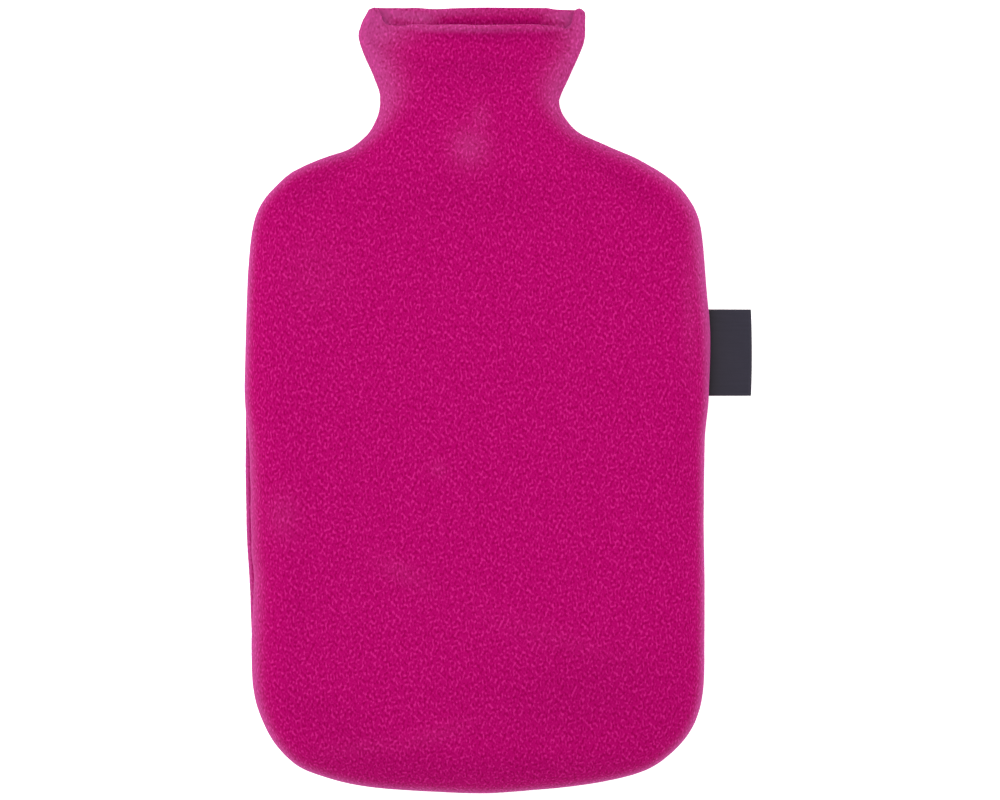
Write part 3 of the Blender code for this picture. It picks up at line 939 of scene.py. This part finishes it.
BACK_EDGE = 0.018
BACK_RIM = [
    Rim(-0.0480, 0.0004, 0.75),
    Rim(-0.0466, 0.0000, 0.73),
    Rim(-0.0440, -0.0002, 0.70),
    Rim(-0.0360, -0.0004, 0.62),
    Rim(-0.0290, -0.0007, 0.62),
    Rim(-0.0200, -0.0003, 0.60),
    Rim(-0.0100, -0.0008, 0.52),
    Rim(0.0000, -0.0011, 0.34),
    Rim(0.0190, -0.0010, 0.22),
    Rim(0.0312, -0.0007, 0.40),
    Rim(0.0356, 0.0003, 0.62),
    Rim(0.0410, 0.0006, 0.66),
    Rim(0.0464, 0.0007, 0.75),
    Rim(0.0476, 0.0014, 0.75),
]
BACK_STRIPS = [
    Strip(0.1725, 0.0150, 0.0100, 0.90, 0.80),
    Strip(0.1280, 0.0090, 0.0080, 0.80, 0.70),
    Strip(0.0950, 0.0045, 0.0045, 0.90, 0.90),
    Strip(-0.0100, 0.0050, 0.0032, 1.00, 0.90),
    Strip(-0.0400, 0.0050, 0.0030, 1.15, 0.90),
    Strip(-0.0900, 0.0045, 0.0030, 1.10, 0.90),
    Strip(-0.1740, 0.0030, 0.0030, 0.90, 0.90),
]


def back_height(x, y, rise):
    """Height of the back, which falls to the table; rise is as for the front."""
    low = between(y, PROFILE, "seam") - SEAM_GAP / 2 - SEAM_ROLL
    return lipped(low + (between(y, PROFILE, "back") - low) * rise, x, y, -1)


back = sewn_panel("back_panel_cloth", back_height, BACK_EDGE, -1, 0.0, BACK_RIM, BACK_STRIPS, [], 20)
# Its finish is the front's fleece made a little darker
back.data.materials.append(fleece("back_fleece_finish", 0.98, (0.5, 0.3, 0.2)))
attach(back, "root")
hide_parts("back_panel")


# ---- Label ----
# A woven satin ribbon with selvedges, folded in two across its length. Its cut ends are caught in the right
# side seam and the fold stands out of it. It is bare.

RIBBON = 0.0004
LABEL_TOP = 0.0399
LABEL_BOTTOM = 0.0018
LABEL_OUT = 0.0187  # how far the fold stands out past the seam
LABEL_IN = 0.0055
LABEL_DROOP = 0.0007  # how far the fold's middle droops
LABEL_SLANT = 0.25  # how much more its upper corner droops, and how much less its lower one
LABEL_BOW = 0.0004  # how much further the fold's middle stands out than its corners
RIPPLE = 0.00012
RIPPLE_ALONG = 5  # how fast the ripple turns from the middle to the selvedge, and from the seam to the fold
RIPPLE_OUT = 40 / 9
SELVEDGE = 0.0009
SELVEDGE_THIN = 0.45  # how much thinner its very edge is
FOLD_CREASE = 0.0007
DENSER = 0.8  # how much of the selvedges' tone the ribbon's edges have, and its crease as a painted highlight
ROOT_CAST = 0.0052  # how far the fleece's painted shadow reaches on the ribbon beside the seam
RUN_STEPS = 48
FOLD_STEPS = 12
RIBBON_STEPS = 96

middle = (LABEL_TOP + LABEL_BOTTOM) / 2
half_ribbon = (LABEL_TOP - LABEL_BOTTOM) / 2
seam_level = float(between(np.array([middle]), PROFILE, "seam")[0])
root = float(between(np.array([middle]), OUTLINE, "right")[0])
half = (RIBBON + SEAM_GAP) / 2
inner_end, fold = root - LABEL_IN, root + LABEL_OUT - half - RIBBON / 2
run = np.linspace(inner_end, fold, RUN_STEPS + 1)
turn = np.radians(np.linspace(90, -90, FOLD_STEPS + 1)[1:-1])
centre_x = np.concatenate([run, fold + half * np.cos(turn), run[::-1]])
centre_z = np.concatenate([np.full(len(run), half), half * np.sin(turn), np.full(len(run), -half)])
facing = np.concatenate([np.full(len(run), math.pi / 2), turn, np.full(len(run), -math.pi / 2)])
share = np.linspace(-1, 1, RIBBON_STEPS + 1)
from_edge = (1 - np.abs(share)) * half_ribbon / SELVEDGE

ribbon_points = []
for out in (-RIBBON / 2, RIBBON / 2):
    thick = out * (1 - SELVEDGE_THIN * (1 - ease(from_edge)))
    for x, z, way in zip(centre_x, centre_z, facing):
        reach = np.clip((x - root) / LABEL_OUT, 0, 1)
        across = x + thick * math.cos(way) + LABEL_BOW * reach**2 * (1 - share**2) - LABEL_BOW
        ripple = RIPPLE * reach * np.sin(RIPPLE_ALONG * share + RIPPLE_OUT * x / LABEL_OUT)
        sag = ripple - LABEL_DROOP * reach**2 * (1 + LABEL_SLANT * share)
        up = seam_level + z + thick * math.sin(way) + sag
        ribbon_points.append(np.column_stack([across, middle + share * half_ribbon, up]))
sections = len(centre_x)
number = np.arange(2 * sections * len(share)).reshape(2, sections, len(share))
ribbon_faces = quads(number[0]) + [face[::-1] for face in quads(number[1])]
for edge in ([number[0][:, 0], number[1][:, 0]], [number[1][:, -1], number[0][:, -1]]):
    ribbon_faces += quads(np.array(edge))
for cut_end in ([number[1][0], number[0][0]], [number[0][-1], number[1][-1]]):
    ribbon_faces += quads(np.array(cut_end))

# Denser tone at the selvedges, a highlight painted along the fold, a shadow painted beside the seam
near_fold = np.exp(-(((fold + half - centre_x) / FOLD_CREASE) ** 2))
selvedge = DENSER * np.maximum(np.clip(1 - from_edge, 0, 1)[None, :], near_fold[:, None])
rooted = np.exp(-np.maximum(centre_x - root, 0) / ROOT_CAST)[:, None]
label_mesh = new_mesh(
    "label_ribbon",
    np.concatenate(ribbon_points),
    ribbon_faces,
    selvedge=np.tile(selvedge, (2, 1)).reshape(-1),
    rooted=np.tile(rooted, (2, len(share))).reshape(-1),
)
label = put_down("label_ribbon", label_mesh)

SATIN = (0.0112, 0.0092, 0.0196)
SATIN_FLOAT = (0.0204, 0.0170, 0.0345)
SATIN_EDGE = (0.0250, 0.0216, 0.0350)
ROOT_SHADE = (0.54, 0.40, 0.40)  # the colour of the fleece's shadow, painted beside the seam
RIBS = 1050.0  # how many there are to a metre, more or less, like the floats and the streaks
FLOATS = 640.0
STREAKS = (60.0, 900.0, 60.0)


def satin():
    """Dark satin: fine ribs across the ribbon, long smooth floats between them, denser selvedges, a highlight
    painted along the fold and a shadow painted beside the seam.
    """
    made, tree, shader = new_finish(
        "label_satin_finish", Specular_IOR_Level=0.22, Sheen_Weight=0.06, Sheen_Roughness=0.4
    )
    where = shader_node(tree, "ShaderNodeTexCoord").outputs["Object"]

    def threads(direction, scale, distortion):
        made = shader_node(
            tree,
            "ShaderNodeTexWave",
            wave_type="BANDS",
            bands_direction=direction,
            Scale=scale,
            Distortion=distortion,
            Detail=1.0,
        )
        tree.links.new(where, made.inputs["Vector"])
        return made.outputs["Fac"]

    weave = reckoned(tree, "MULTIPLY_ADD", threads("X", FLOATS, 1.2), 0.45, threads("Y", RIBS, 0.6))
    placed = shader_node(tree, "ShaderNodeMapping", Scale=STREAKS)
    streaks = shader_node(tree, "ShaderNodeTexNoise", Scale=1.0, Detail=3.0, Roughness=0.6)
    tree.links.new(where, placed.inputs["Vector"])
    tree.links.new(placed.outputs["Vector"], streaks.inputs["Vector"])
    uneven = reckoned(tree, "MULTIPLY", weave, streaks.outputs["Fac"])
    colour = toned(tree, uneven, [(0.05, SATIN), (0.85, SATIN_FLOAT)])
    colour = blended(tree, "MIX", read_value(tree, "selvedge"), colour, SATIN_EDGE)
    colour = blended(tree, "MULTIPLY", read_value(tree, "rooted"), colour, ROOT_SHADE)
    tree.links.new(colour, shader.inputs["Base Color"])
    tree.links.new(reckoned(tree, "MULTIPLY_ADD", uneven, -0.14, 0.56), shader.inputs["Roughness"])
    raised(tree, weave, 0.35, 0.00006, shader)
    return made


label.data.materials.append(satin())
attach(label, "root")
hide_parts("label")


# ---- Surface, light and camera ----
# A pale studio table that glows a little, under soft, even light from above and from the sides. The camera
# looks straight down, as in the photo.

TABLE_LEVEL = -0.0001
TABLE_HALF = 3
corners = [(x * TABLE_HALF, y * TABLE_HALF, TABLE_LEVEL) for x, y in ((-1, -1), (1, -1), (1, 1), (-1, 1))]
table_mesh = bpy.data.meshes.new("studio_table")
table_mesh.from_pydata(corners, [], [(0, 1, 2, 3)])
table = put_down("studio_table", table_mesh)
pale_finish, _, _ = new_finish(
    "pale_table",
    Base_Color=(0.92, 0.92, 0.92, 1),
    Roughness=0.9,
    Emission_Color=(1, 1, 1, 1),
    Emission_Strength=0.70,
)
table.data.materials.append(pale_finish)

world = bpy.data.worlds.new("studio_air")
bpy.context.scene.world = world
world.use_nodes = True
world.node_tree.nodes["Background"].inputs["Color"].default_value = (1, 1, 1, 1)
world.node_tree.nodes["Background"].inputs["Strength"].default_value = 0.62


def soft_box(name, place, size, watts):
    """A rectangular lamp that faces the cover."""
    light = bpy.data.lights.new(name, "AREA")
    light.shape = "RECTANGLE"
    light.size, light.size_y = size
    light.energy = watts
    made = put_down(name, light)
    made.location = place
    made.rotation_euler = (-Vector(place)).to_track_quat("-Z", "Y").to_euler()


soft_box("overhead", (-0.28, 0.43, 1.90), (1.6, 1.2), 26.7)
soft_box("left_side", (-1.5, 0.2, 0.7), (0.9, 1.2), 8.6)
soft_box("right_side", (1.5, 0.2, 0.7), (0.9, 1.2), 7.8)
soft_box("front_side", (0.0, -1.5, 0.7), (1.2, 0.9), 1.5)

METRES_PER_PIXEL = 0.00044
PHOTO_WIDTH = 1000  # pixels
PHOTO_MIDDLE = 23  # how many pixels its middle lies to the right of the body's
SEAM_LEVEL = 0.017  # the height at which a pixel measures that much
CAMERA_HEIGHT = 1.6
SENSOR = 36  # millimetres
camera = put_down("camera", bpy.data.cameras.new("camera"))
camera.location = (PHOTO_MIDDLE * METRES_PER_PIXEL, 0.0, CAMERA_HEIGHT)
camera.data.sensor_width = SENSOR
camera.data.lens = SENSOR * (CAMERA_HEIGHT - SEAM_LEVEL) / (PHOTO_WIDTH * METRES_PER_PIXEL)
bpy.context.scene.camera = camera
bpy.context.scene.view_settings.view_transform = "Standard"
